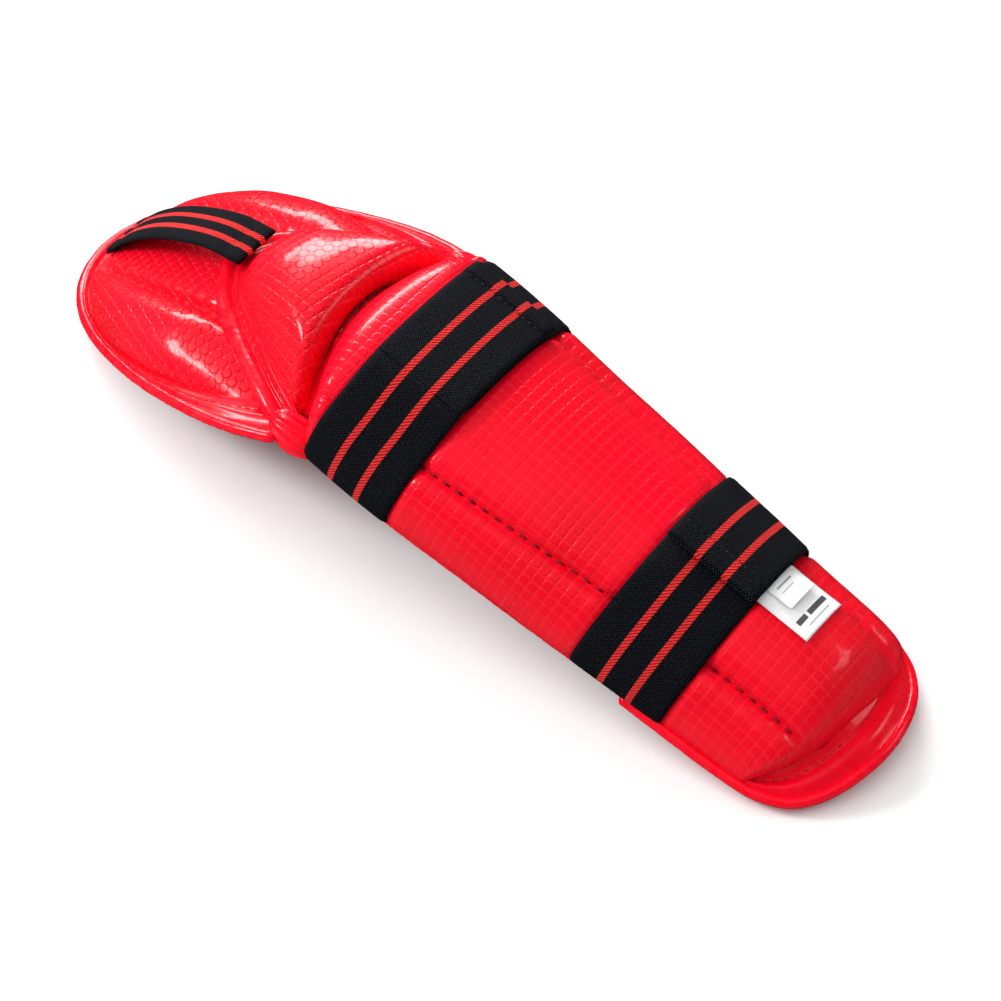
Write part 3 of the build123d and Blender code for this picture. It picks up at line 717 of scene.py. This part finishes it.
def twisted_thread(name, colour, dark):
    """Two-ply sewing thread."""
    n = Nodes(name)
    place = n.add("ShaderNodeMapping", {"Vector": n.place()})
    place.inputs["Rotation"].default_value = (0.5, 0.4, 0.9)
    plies = n.add("ShaderNodeTexWave", {"Vector": place.outputs[0], "Scale": 320.0})
    shade = n.mix(plies.outputs["Fac"], dark, colour)
    return n.finish(Base_Color=shade, Roughness=0.55, Normal=n.bump(plies.outputs["Fac"], 0.4, 0.0002))

def woven_label_cloth(name, marks):
    """White satin label with plain dark bars and lines in place of lettering."""
    n = Nodes(name)
    uv = n.add("ShaderNodeSeparateXYZ", {"Vector": n.skin()})
    u, v = uv.outputs[0], uv.outputs[1]
    ink = 0.0

    def inside(place, low, high):
        return n.times(n.ramp(place, low - 0.1, low + 0.1), n.ramp(place, high + 0.1, high - 0.1))

    for u0, u1, v0, v1, amount in marks:
        bar = n.times(n.times(inside(u, u0, u1), inside(v, v0, v1)), amount)
        ink = n.math("MAXIMUM", ink, bar)
    weave_u = n.wave(u, 0.45)
    weave_v = n.wave(v, 0.6)
    weave = n.times(weave_u, weave_v)
    fray = n.noise(n.skin(), 0.9, 3.0)
    cloth = n.mix(n.ramp(fray, 0.3, 0.7), (0.93, 0.93, 0.93), (0.84, 0.84, 0.85))
    colour = n.mix(ink, cloth, (0.03, 0.03, 0.035))
    return n.finish(Base_Color=colour, Roughness=0.55, Normal=n.bump(weave, 0.35, 0.0002))

PAD_VINYL = embossed_vinyl("forearm_vinyl", 0.0, 0.46)
BRIDGE_VINYL = embossed_vinyl("bridge_vinyl", radians(12), 1.1)
CAP_VINYL = embossed_vinyl("cap_vinyl", radians(28), 1.3)
EDGE_VINYL = smooth_vinyl("edge_vinyl")
WEBBING = woven_elastic("striped_elastic", (-6.2, 6.2))
FINE_WEBBING = woven_elastic("narrow_striped_elastic", (-3.6, 3.6), 0.85)
HOOKS = hook_tape("hook_tape", True)
LOOPS = hook_tape("loop_tape", False)
LINING = knitted_lining("knitted_lining")
RED_THREAD = twisted_thread("dark_red_thread", (0.30, 0.004, 0.012), (0.10, 0.001, 0.004))
BRIGHT_THREAD = twisted_thread("red_thread", (0.72, 0.01, 0.02), (0.40, 0.003, 0.008))
BLACK_THREAD = twisted_thread("black_thread", (0.008, 0.008, 0.010), (0.002, 0.002, 0.003))
# Bars on the labels: from and to along, from and to across, and darkness.
LABEL_MARKS = ((16.6, 18.8, 3.0, 8.5, 0.95), (16.6, 18.8, 10.0, 22.5, 0.95), (20.6, 21.3, 6.0, 20.0, 0.5))
SMALL_MARKS = ((3.5, 4.3, 3.0, 13.0, 0.6), (6.0, 6.6, 3.0, 11.0, 0.45))
LABEL_CLOTH = woven_label_cloth("woven_label", LABEL_MARKS)
SMALL_LABEL_CLOTH = woven_label_cloth("size_label", SMALL_MARKS)

def belongs(piece, body, slot, *nodes):
    """The piece rides on one body and stands for these CAD nodes, which are hidden. Its slot is not used."""
    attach(piece, body)
    if nodes:
        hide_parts(*nodes)
    return piece

# ---------------------------------------------------------------- the three pads
FOREARM_END_X = 215.5
END_SKEW = 0.12
END_ROUNDING = 6.0
END_HALF_WIDTH = 41.0
BRIDGE_START_X = -70.0
CAP_START_X = -141.0
CAP_END_X = -14.0

def wrist_end_x(y):
    """Where the forearm pad ends at the wrist: a little askew, with rounded corners."""
    corner = np.minimum(np.abs(y) / END_HALF_WIDTH, 1.1) ** 5
    return FOREARM_END_X + END_SKEW * y - END_ROUNDING * corner

def padded_part(body, shape, material, lining_end=0.985):
    """Pad with its foams and lining, on one body; gives the lines of its two channel seams."""
    name = body.removeprefix("elbow_")
    piece, seams = pillow(f"{name}_pad", shape, material)
    foams = [f"{name}_{place}_foam" for place in ("centre", "right", "left")]
    belongs(piece, body, "vinyl", f"{name}_cover", *foams)
    inner = lining(f"{name}_inner_lining", shape, LINING, lining_end)
    belongs(inner, body, "lining", f"{name}_lining")
    return seams

forearm_shape = Shape(pad, FOREARM, lambda y: crease_x(y) + 1.0, wrist_end_x, 200, (13.0, 7.0))
forearm_shape.press = lambda x: 1.5 * under_straps(x)
forearm_seams = padded_part("forearm", forearm_shape, PAD_VINYL, lining_end=0.925)

bridge_shape = Shape(pad, BRIDGE, constant(BRIDGE_START_X), lambda y: crease_x(y) - 1.0, 110, (9.0, 11.0))
bridge_shape.pinch, bridge_shape.pucker, bridge_shape.soft = 0.0, 0.0, 0.5
bridge_shape.rounds = 60
padded_part("bridge", bridge_shape, BRIDGE_VINYL)

cap_shape = Shape(cap, CAP, constant(CAP_START_X), constant(CAP_END_X), 130, (5.0, 6.0))
cap_shape.pinch, cap_shape.pucker = 1.5, 0.9
cap_seams = padded_part("elbow_cap", cap_shape, CAP_VINYL)

def between_x(line, low, high):
    line = line[np.argsort(line[:, 0])]
    return resample(line[(line[:, 0] > low) & (line[:, 0] < high)], 160)

SIDES = (("right", 0), ("left", 1))
for side, index in SIDES:
    path = between_x(forearm_seams[index], 2.0, 203.0)
    thread = stitches(f"forearm_{side}_seam_thread", pad, path, 3.4, 2.2, 0.5, RED_THREAD, lift=0.25)
    belongs(thread, "forearm", "thread", f"{side}_channel_stitching")
    path = between_x(cap_seams[index], -133.0, -34.0)
    thread = stitches(f"cap_{side}_seam_thread", cap, path, 3.4, 2.2, 0.45, BRIGHT_THREAD, lift=0.2)
    belongs(thread, "elbow_cap", "thread", f"cap_{side}_stitching")

# ---------------------------------------------------------------- margins and bindings
def two_rows(t):
    """Height across a margin stitched near both of its edges."""
    return 1.7 * np.exp(-(((t - 0.7) / 0.13) ** 2)) - 0.8 * np.exp(-(((t - 0.45) / 0.08) ** 2))

def table_height(x):
    """Height in the pad's frame at which a margin still lies clear above the table."""
    return (np.asarray(x) * -pad.x[2] - pad.origin[2] + 3.0) / pad.z[2]

def bound_margin(name, datum, body, nodes, inner, outer, drop, wrinkle, share, trim, thickness):
    """Sewn margin, the binding round its edge and the row of thread along it."""
    skin = margin(f"{name}_margin", datum, inner, outer, 2.2, two_rows, EDGE_VINYL)
    belongs(skin, body, "vinyl", nodes[0])
    binding = tube(f"{name}_piping", datum, outer - (0, 0, drop), 2.3, EDGE_VINYL, wrinkle=wrinkle)
    belongs(binding, body, "piping", nodes[1])
    path = (inner + (outer - inner) * share + (0, 0, 0.6))[trim:-trim]
    thread = stitches(f"{name}_margin_thread", datum, path, 2.6, 1.3, thickness, BRIGHT_THREAD)
    belongs(thread, body, "thread")

WRIST_TIP = [
    (146.0, -46.2, -1.6), (170.0, -45.2, -1.2), (190.0, -44.2, -0.6), (206.0, -42.4, 0.8),
    (217.5, -37.0, 3.0), (225.0, -27.5, 7.0), (229.5, -14.0, 11.0), (231.0, 0.0, 12.2),
]
WRIST_EDGE = [
    (146.0, -43.6, -0.4), (170.0, -41.6, 0.0), (190.0, -40.0, 0.6), (197.0, -37.0, 3.0),
    (203.0, -31.0, 7.0), (206.0, -23.0, 10.5), (207.5, -12.0, 13.6), (208.0, 0.0, 14.6),
]
WRIST_COUNT = 230
wrist_outer = whole_curve(WRIST_TIP, WRIST_COUNT)
wrist_outer[:, 2] = np.maximum(wrist_outer[:, 2], table_height(wrist_outer[:, 0]))
wrist_inner = whole_curve(WRIST_EDGE, WRIST_COUNT)
nodes = ("wrist_flange", "wrist_binding")
bound_margin("wrist", pad, "forearm", nodes, wrist_inner, wrist_outer, 0.0, 0.03, 0.46, 8, 0.28)

CAP_RIM = [
    (1.0, -56.5, 0.0), (-18.0, -59.4, 0.0), (-34.0, -60.0, 0.0), (-58.0, -58.4, 0.0),
    (-81.0, -54.6, 0.0), (-110.0, -45.6, 0.0), (-130.0, -34.0, 0.0), (-143.0, -19.5, 0.0),
    (-148.6, 0.0, 0.0),
]
CAP_EDGE = [
    (-4.0, -34.0, 2.6), (-22.0, -43.6, 2.0), (-46.0, -51.0, 1.0), (-66.0, -51.2, 1.0),
    (-90.0, -48.4, 1.0), (-110.0, -40.8, 1.0), (-125.0, -30.5, 1.0), (-135.0, -16.5, 1.0),
    (-138.5, 0.0, 1.0),
]
RIM_COUNT = 260
cap_outer = whole_curve(CAP_RIM, RIM_COUNT)
cap_inner = whole_curve(CAP_EDGE, RIM_COUNT)
nodes = ("cap_rim_flange", "cap_binding")
bound_margin("cap", cap, "elbow_cap", nodes, cap_inner, cap_outer, 0.6, 0.04, 0.45, 6, 0.26)

for side, sign in (("right", -1), ("left", 1)):
    x = np.linspace(-4.0, 156.0, 140)
    values = smooth_through(FOREARM, x)
    path = np.column_stack((x, sign * (values[:, 1] - 2.2), -0.9 + 0.0 * x))
    hem = tube(f"forearm_{side}_edge_piping", pad, path, 2.0, EDGE_VINYL, flatten=0.7, wrinkle=0.05)
    belongs(hem, "forearm", "piping", f"forearm_{side}_hem")

ROLLED_EDGE = [
    (-15.5, -50.5, 0.5), (-25.0, -46.8, 0.5), (-37.0, -40.5, -2.5), (-48.0, -34.0, -6.0),
    (-60.0, -26.0, -9.5), (-72.0, -16.0, -11.0), (-79.0, 0.0, -11.0),
]
BRIDGE_EDGE = [
    (-8.0, -47.2, 5.5), (-16.0, -43.8, 5.5), (-27.0, -38.6, 4.0), (-39.0, -31.6, 1.5),
    (-52.0, -24.0, -2.0), (-62.0, -17.6, -3.5), (-68.5, 0.0, -3.0),
]
GUSSET_COUNT = 170
rolled_path = whole_curve(ROLLED_EDGE, GUSSET_COUNT)
gusset_top = whole_curve(BRIDGE_EDGE, GUSSET_COUNT)
rolled_edge = tube("bridge_rolled_piping", pad, rolled_path, 3.7, EDGE_VINYL, wrinkle=0.025)
belongs(rolled_edge, "bridge", "piping", "bridge_rolled_edge")

def three_ridges(t):
    """Height across the gusset: gathered folds beside two stitched rows."""
    folds = 0.8 * np.exp(-(((t - 0.22) / 0.1) ** 2))
    return folds + 0.7 * np.exp(-(((t - 0.62) / 0.08) ** 2)) - 0.5 * np.exp(-(((t - 0.45) / 0.06) ** 2))

gusset = margin("bridge_gusset", pad, gusset_top, rolled_path, 2.4, three_ridges, EDGE_VINYL, 26, 0.45)
belongs(gusset, "bridge", "vinyl")
for row, share in (("upper", 0.45), ("lower", 0.76)):
    path = gusset_top + (rolled_path - gusset_top) * share + (0, 0, 1.5)
    thread = stitches(f"gusset_{row}_thread", pad, path[5:-5], 2.8, 1.4, 0.28, BRIGHT_THREAD)
    belongs(thread, "bridge", "thread")

# ---------------------------------------------------------------- webs and gathers
WEB_DEPTH = 5.0

def crease_strip():
    """Gathered strip tucked double into the crease, from the near edge to the far edge."""
    y = np.linspace(-1, 1, 120)
    values = smooth_through(FOREARM, np.full(len(y), crease_x(0.0)))
    across = y * 0.84 * values[0, 1]
    arch = arch_height(across * 0.96, values)
    loops, uv = [], []
    for t in np.linspace(-1, 1, 15):
        slack = 1 - t**2
        x = crease_x(across) + WEB_DEPTH * abs(t)
        z = arch + 2.0 - 1.6 * slack + 0.5 * np.sin(across / 1.6) * slack
        upper = np.column_stack((x, across, z + 0.8))
        lower = np.column_stack((x, across, z - 0.8))[::-1]
        loops.append(np.concatenate((upper, lower)))
        uv.append(loops[-1][:, :2])
    return loops_mesh("crease_web", np.array(loops), pad, EDGE_VINYL, np.concatenate(uv))

crease_web = crease_strip()
fold_start = pad.place((CREASE_CENTRE_X + 3.0, 0, 20.0))
fold_end = pad.place((CREASE_CENTRE_X - 3.0, 0, 20.0))
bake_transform(crease_web)

BRIDGE_WEB_X, CAP_WEB_X = -29.0, -19.0
BRIDGE_WEB_HALF, CAP_WEB_HALF = 41.0, 50.0
WEB_ROWS, WEB_POINTS = 16, 80

def elbow_web_rings():
    """Lining wall from under the bridge down to the root of the cap, across the arm."""
    y = np.linspace(-1, 1, WEB_POINTS)
    on_bridge, on_cap = np.full(len(y), BRIDGE_WEB_X), np.full(len(y), CAP_WEB_X)
    bridge_y, cap_y = BRIDGE_WEB_HALF * y, CAP_WEB_HALF * y
    bridge_z = arch_height(bridge_y, smooth_through(BRIDGE, on_bridge)) - 0.6
    cap_z = np.maximum(arch_height(cap_y * 0.9, smooth_through(CAP, on_cap)), 0.0) + 1.5
    top = pad.place(np.column_stack((on_bridge, bridge_y, bridge_z)))
    bottom = cap.place(np.column_stack((on_cap, cap_y, cap_z)))
    t = np.linspace(0, 1, WEB_ROWS)[:, None, None]
    wall = (top[None] + (bottom - top)[None] * t) / MM
    sag = np.sin(pi * t[:, :, 0]) * (1.2 + 0.5 * np.sin(bridge_y / 2.1))[None]
    normal = np.array((1.0, 0.0, 0.25))
    front = wall + (sag[:, :, None] + 0.5) * normal
    behind = (wall + (sag[:, :, None] - 0.5) * normal)[:, ::-1]
    rings = np.concatenate((front, behind), axis=1)
    down = np.repeat(np.arange(WEB_ROWS) * 1.3, 2 * WEB_POINTS)
    across = np.tile(np.concatenate((bridge_y, bridge_y[::-1])), WEB_ROWS)
    middle = WEB_POINTS // 2
    return rings, np.column_stack((down, across)), top[middle], bottom[middle]

web_rings, web_uv, web_top, web_bottom = elbow_web_rings()
elbow_web = loops_mesh("elbow_web", web_rings, None, LINING, web_uv)
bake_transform(elbow_web)

def gather(name, centre, radius, material):
    """Bunched corner where the covers are sewn together: a puckered knot of folds."""
    rings, segments = 26, 72
    loops = []
    for i in range(rings):
        polar = pi * (i + 0.5) / rings
        turn = np.linspace(0, 2 * pi, segments, endpoint=False)
        folds = 1 + 0.11 * sin(polar) * np.sin(9 * turn + 1.6 * cos(polar) + 0.8 * np.sin(2 * turn))
        x = centre[0] + radius[0] * cos(polar) * np.ones_like(turn)
        y = centre[1] + radius[1] * sin(polar) * folds * np.cos(turn)
        z = centre[2] + radius[2] * sin(polar) * folds * np.sin(turn)
        loops.append(np.column_stack((x, y, z)))
    around = np.tile(np.linspace(0, 40, segments), rings)
    uv = np.column_stack((np.repeat(np.linspace(0, 20, rings), segments), around))
    return loops_mesh(name, np.array(loops), pad, material, uv)

for side, sign in (("right", -1), ("left", 1)):
    knot = gather(f"{side}_corner_pleats", (-7.5, sign * 50.5, 1.2), (12.0, 6.4, 7.6), EDGE_VINYL)
    belongs(knot, "forearm", "vinyl", f"{side}_corner_gather")

# ---------------------------------------------------------------- straps
WEB_THICKNESS = 1.6
WEB_SINK = 0.85
TAIL_LIFT = 2.5
FOLD_LENGTH = 9.0
LOOP_GAP = 5.0
CLIMB = 22.0
TAPE_THICKNESS = 0.8
TAPE_INSET = 3.0
HOOK_LIFT = 1.62
LOOP_LIFT = 0.78

def strap(name, start_x, hinge_y, end_y):
    """One strap: the loop round the pad, hook and loop patches, and the tail, which is built lying down
    rather than peeled.
    """
    loop = Loop(start_x)
    hinge, tip = loop.at_y(hinge_y), loop.at_y(end_y)
    way = 1 if tip > hinge else -1
    round_length = loop.length - LOOP_GAP

    def base_lift(t):
        rise = np.clip(1 - (1 - t) * round_length / CLIMB, 0, 1)
        return -WEB_SINK + (TAIL_LIFT + WEB_SINK) * rise * rise * (3 - 2 * rise)

    first = hinge + way * LOOP_GAP
    last = first + way * round_length
    even = constant(WEB_THICKNESS)
    ring = band(name + "_webbing", loop, first, last, base_lift, even, WEBBING, count=420)
    belongs(ring, "forearm", "webbing", name)

    def tail_thickness(t):
        from_tip = (1 - t) * abs(tip - hinge)
        folded = np.clip((FOLD_LENGTH - from_tip) / 1.2, 0, 1)
        rounded = np.clip(from_tip, 0.35, 1)
        return (WEB_THICKNESS + 1.3 * folded) * rounded

    tail = band(name + "_tail_webbing", loop, hinge, tip, constant(TAIL_LIFT), tail_thickness, WEBBING)
    bend = np.array([hinge - way * 1.0, hinge, hinge + way * 6.0])
    placed = pad.place(loop.points(bend, TAIL_LIFT * np.ones(3), 0.5))
    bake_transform(tail)
    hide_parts(name + "_tail")

    first, last = hinge + way * 12.0, tip - way * 4.0
    tapes = (("hook", name + "_end", HOOK_LIFT, HOOKS), ("loop", "forearm", LOOP_LIFT, LOOPS))
    for kind, body, lift, material in tapes:
        height, thick = constant(lift), constant(TAPE_THICKNESS)
        tape = band(f"{name}_{kind}_tape", loop, first, last, height, thick, material, TAPE_INSET)
        belongs(tape, body, "hook_and_loop", f"{name}_{kind}_patch")
    seam_at = tip - way * FOLD_LENGTH
    seam_points = [
        loop.points(np.array([seam_at, seam_at + 0.01]), np.full(2, TAIL_LIFT + WEB_THICKNESS), v)[0]
        for v in np.linspace(0.04, 0.96, 40)
    ]
    seam = stitches(name + "_tail_thread", pad, np.array(seam_points), 2.0, 0.9, 0.22, BLACK_THREAD, 0.15)
    belongs(seam, name + "_end", "thread")

strap("upper_strap", STRAP_STARTS[0], -20.0, 36.0)
strap("lower_strap", STRAP_STARTS[1], 31.0, -5.0)

ELASTIC_WIDTH = 22.0
ELASTIC_THICKNESS = 1.5
FOLD = 7.0
ELASTIC_ARC = [(-50.0, 0, 30.5), (-66.0, 0, 33.0), (-96.0, 0, 28.0), (-119.0, 0, 18.5), (-136.5, 0, 7.0)]
elastic_line = curve_through(ELASTIC_ARC, 90)
elastic_steps = lengths_along(elastic_line)
_, elastic_ups = frames_along(elastic_line)

def elastic_rings():
    """Sections of the elastic, doubled over at both ends, with their places on its surface."""
    rings, uv = [], []
    width = np.linspace(-1, 1, 19)
    for centre, up, step in zip(elastic_line, elastic_ups, elastic_steps):
        ends = min(step, elastic_steps[-1] - step)
        thick = ELASTIC_THICKNESS * (1 + 0.9 * np.clip((FOLD - ends) / 1.2, 0, 1))
        thick *= np.clip(ends, 0.35, 1)
        edge = np.sqrt(np.clip(1 - (np.abs(width) ** 14), 0.06, 1))
        bow = 0.8 * (1 - width**2) * sin(pi * step / elastic_steps[-1])
        line = centre + np.outer(width * ELASTIC_WIDTH / 2, (0, 1, 0))
        line[:, 2] += bow
        rise = np.outer(edge * thick / 2, up * np.sign(up[2] or 1))
        rings.append(np.concatenate((line + rise, (line - rise)[::-1])))
        across = np.concatenate((width, width[::-1])) * ELASTIC_WIDTH / 2
        uv.append(np.column_stack((np.full(len(across), step), across)))
    return np.array(rings), np.concatenate(uv)

rings, elastic_uv = elastic_rings()
elastic = loops_mesh("elbow_elastic_band", rings, cap, FINE_WEBBING, elastic_uv)
stretch_start, stretch_end = cap.place(elastic_line[4]), cap.place(elastic_line[42])
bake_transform(elastic)
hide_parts("elbow_elastic")

# ---------------------------------------------------------------- labels
def label(name, x0, y0, x_size, y_size, lift, curl, material):
    """Small woven label lying on the crown, one end caught under the strap."""
    u, v = np.meshgrid(np.linspace(0, 1, 26), np.linspace(0, 1, 26), indexing="ij")
    x, y = x0 + u * x_size, y0 + v * y_size
    values = smooth_through(FOREARM, x.ravel())
    groove_z, crown, groove_y = values[:, 3], values[:, 4], values[:, 2]
    fullness = crown_fullness(y.ravel() / groove_y)
    z = (groove_z + (crown - groove_z) * fullness).reshape(u.shape)
    z = z + lift + curl * u**2 * (0.4 + 0.6 * v) + 0.25 * np.sin(5 * v + 2 * u)
    top = np.stack((x, y, z), axis=2)
    count = u.shape[0]
    loops = np.concatenate((top, top[:, ::-1] - (0, 0, 0.28)), axis=1)
    across = np.concatenate((v, v[:, ::-1]), axis=1) * y_size
    along = np.concatenate((u, u[:, ::-1]), axis=1) * x_size
    uv = np.column_stack((along.ravel(), across.ravel()))
    return loops_mesh(name, loops.reshape(count, -1, 3), pad, material, uv)

LABEL_X = STRAP_STARTS[1] + STRAP_WIDTH - 1.5
large = label("white_woven_label", LABEL_X, -1.5, 24.0, 26.0, 0.6, 1.4, LABEL_CLOTH)
belongs(large, "forearm", "label", "woven_label")
small = label("small_folded_label", LABEL_X, 4.0, 12.5, 17.0, 1.4, 2.4, SMALL_LABEL_CLOTH)
belongs(small, "forearm", "label", "size_label")

# ---------------------------------------------------------------- floor, light and camera
def plain(name, colour, rough):
    n = Nodes(name)
    tone = n.noise(n.place(), 3.0)
    shade = n.mix(n.ramp(tone, 0.2, 0.8), colour, tuple(0.97 * c for c in colour))
    return n.finish(Base_Color=shade, Roughness=rough)

FLOOR_HALF = 6.0
CORNERS = ((-1, -1), (1, -1), (1, 1), (-1, 1))
floor = new_object(
    "studio_floor",
    [(FLOOR_HALF * x, FLOOR_HALF * y, 0.0) for x, y in CORNERS],
    [(0, 1, 2, 3)],
    plain("pale_floor", (0.93, 0.93, 0.93), 0.6),
)
floor.visible_glossy = False

LIGHT_TARGET = Vector((0, 0, 0.03))

def softbox(name, place, size, power):
    """Rectangular studio light, in metres and watts, that faces the guard."""
    lamp = bpy.data.lights.new(name, "AREA")
    lamp.shape, lamp.size, lamp.size_y = "RECTANGLE", size[0], size[1]
    lamp.energy = power
    thing = add_object(name, lamp)
    thing.location = place
    thing.rotation_euler = (LIGHT_TARGET - Vector(place)).to_track_quat("-Z", "Y").to_euler()

softbox("key_softbox", (-0.86, 0.72, 0.58), (0.8, 0.32), 15.0)
softbox("side_softbox", (-0.85, -0.55, 0.75), (0.35, 0.25), 8.5)
softbox("fill_softbox", (0.75, 0.75, 0.75), (0.5, 0.35), 2.0)
sky = bpy.data.lights.new("overhead", "SUN")
sky.energy, sky.angle = 2.1, radians(75)
overhead = add_object("overhead", sky)
overhead.rotation_euler = (radians(14), radians(-12), 0)
overhead.visible_glossy = False
world = bpy.data.worlds.new("studio")
world.use_nodes = True
daylight = world.node_tree.nodes["Background"].inputs
daylight[0].default_value = (1, 1, 1, 1)
daylight[1].default_value = 0.22
world.cycles_visibility.glossy = False
bpy.context.scene.world = world
bpy.context.scene.view_settings.view_transform = "Standard"

AZIMUTH, ELEVATION, ROLL = radians(36.86), radians(54.15), radians(2.3)
TARGET = Vector((0.0131, 0.0, 0.0057))
DISTANCE = 1.065
back = Vector((sin(AZIMUTH) * cos(ELEVATION), -cos(AZIMUTH) * cos(ELEVATION), sin(ELEVATION)))
level = Vector((cos(AZIMUTH), sin(AZIMUTH), 0))
upright = back.cross(level)
right = level * cos(ROLL) + upright * sin(ROLL)
up = upright * cos(ROLL) - level * sin(ROLL)
lens = bpy.data.cameras.new("camera")
lens.lens, lens.sensor_width = 100.0, 36.0
camera = add_object("camera", lens)
turned = Matrix((right, up, back)).transposed().to_4x4()
camera.matrix_world = Matrix.Translation(TARGET + back * DISTANCE) @ turned
bpy.context.scene.camera = camera
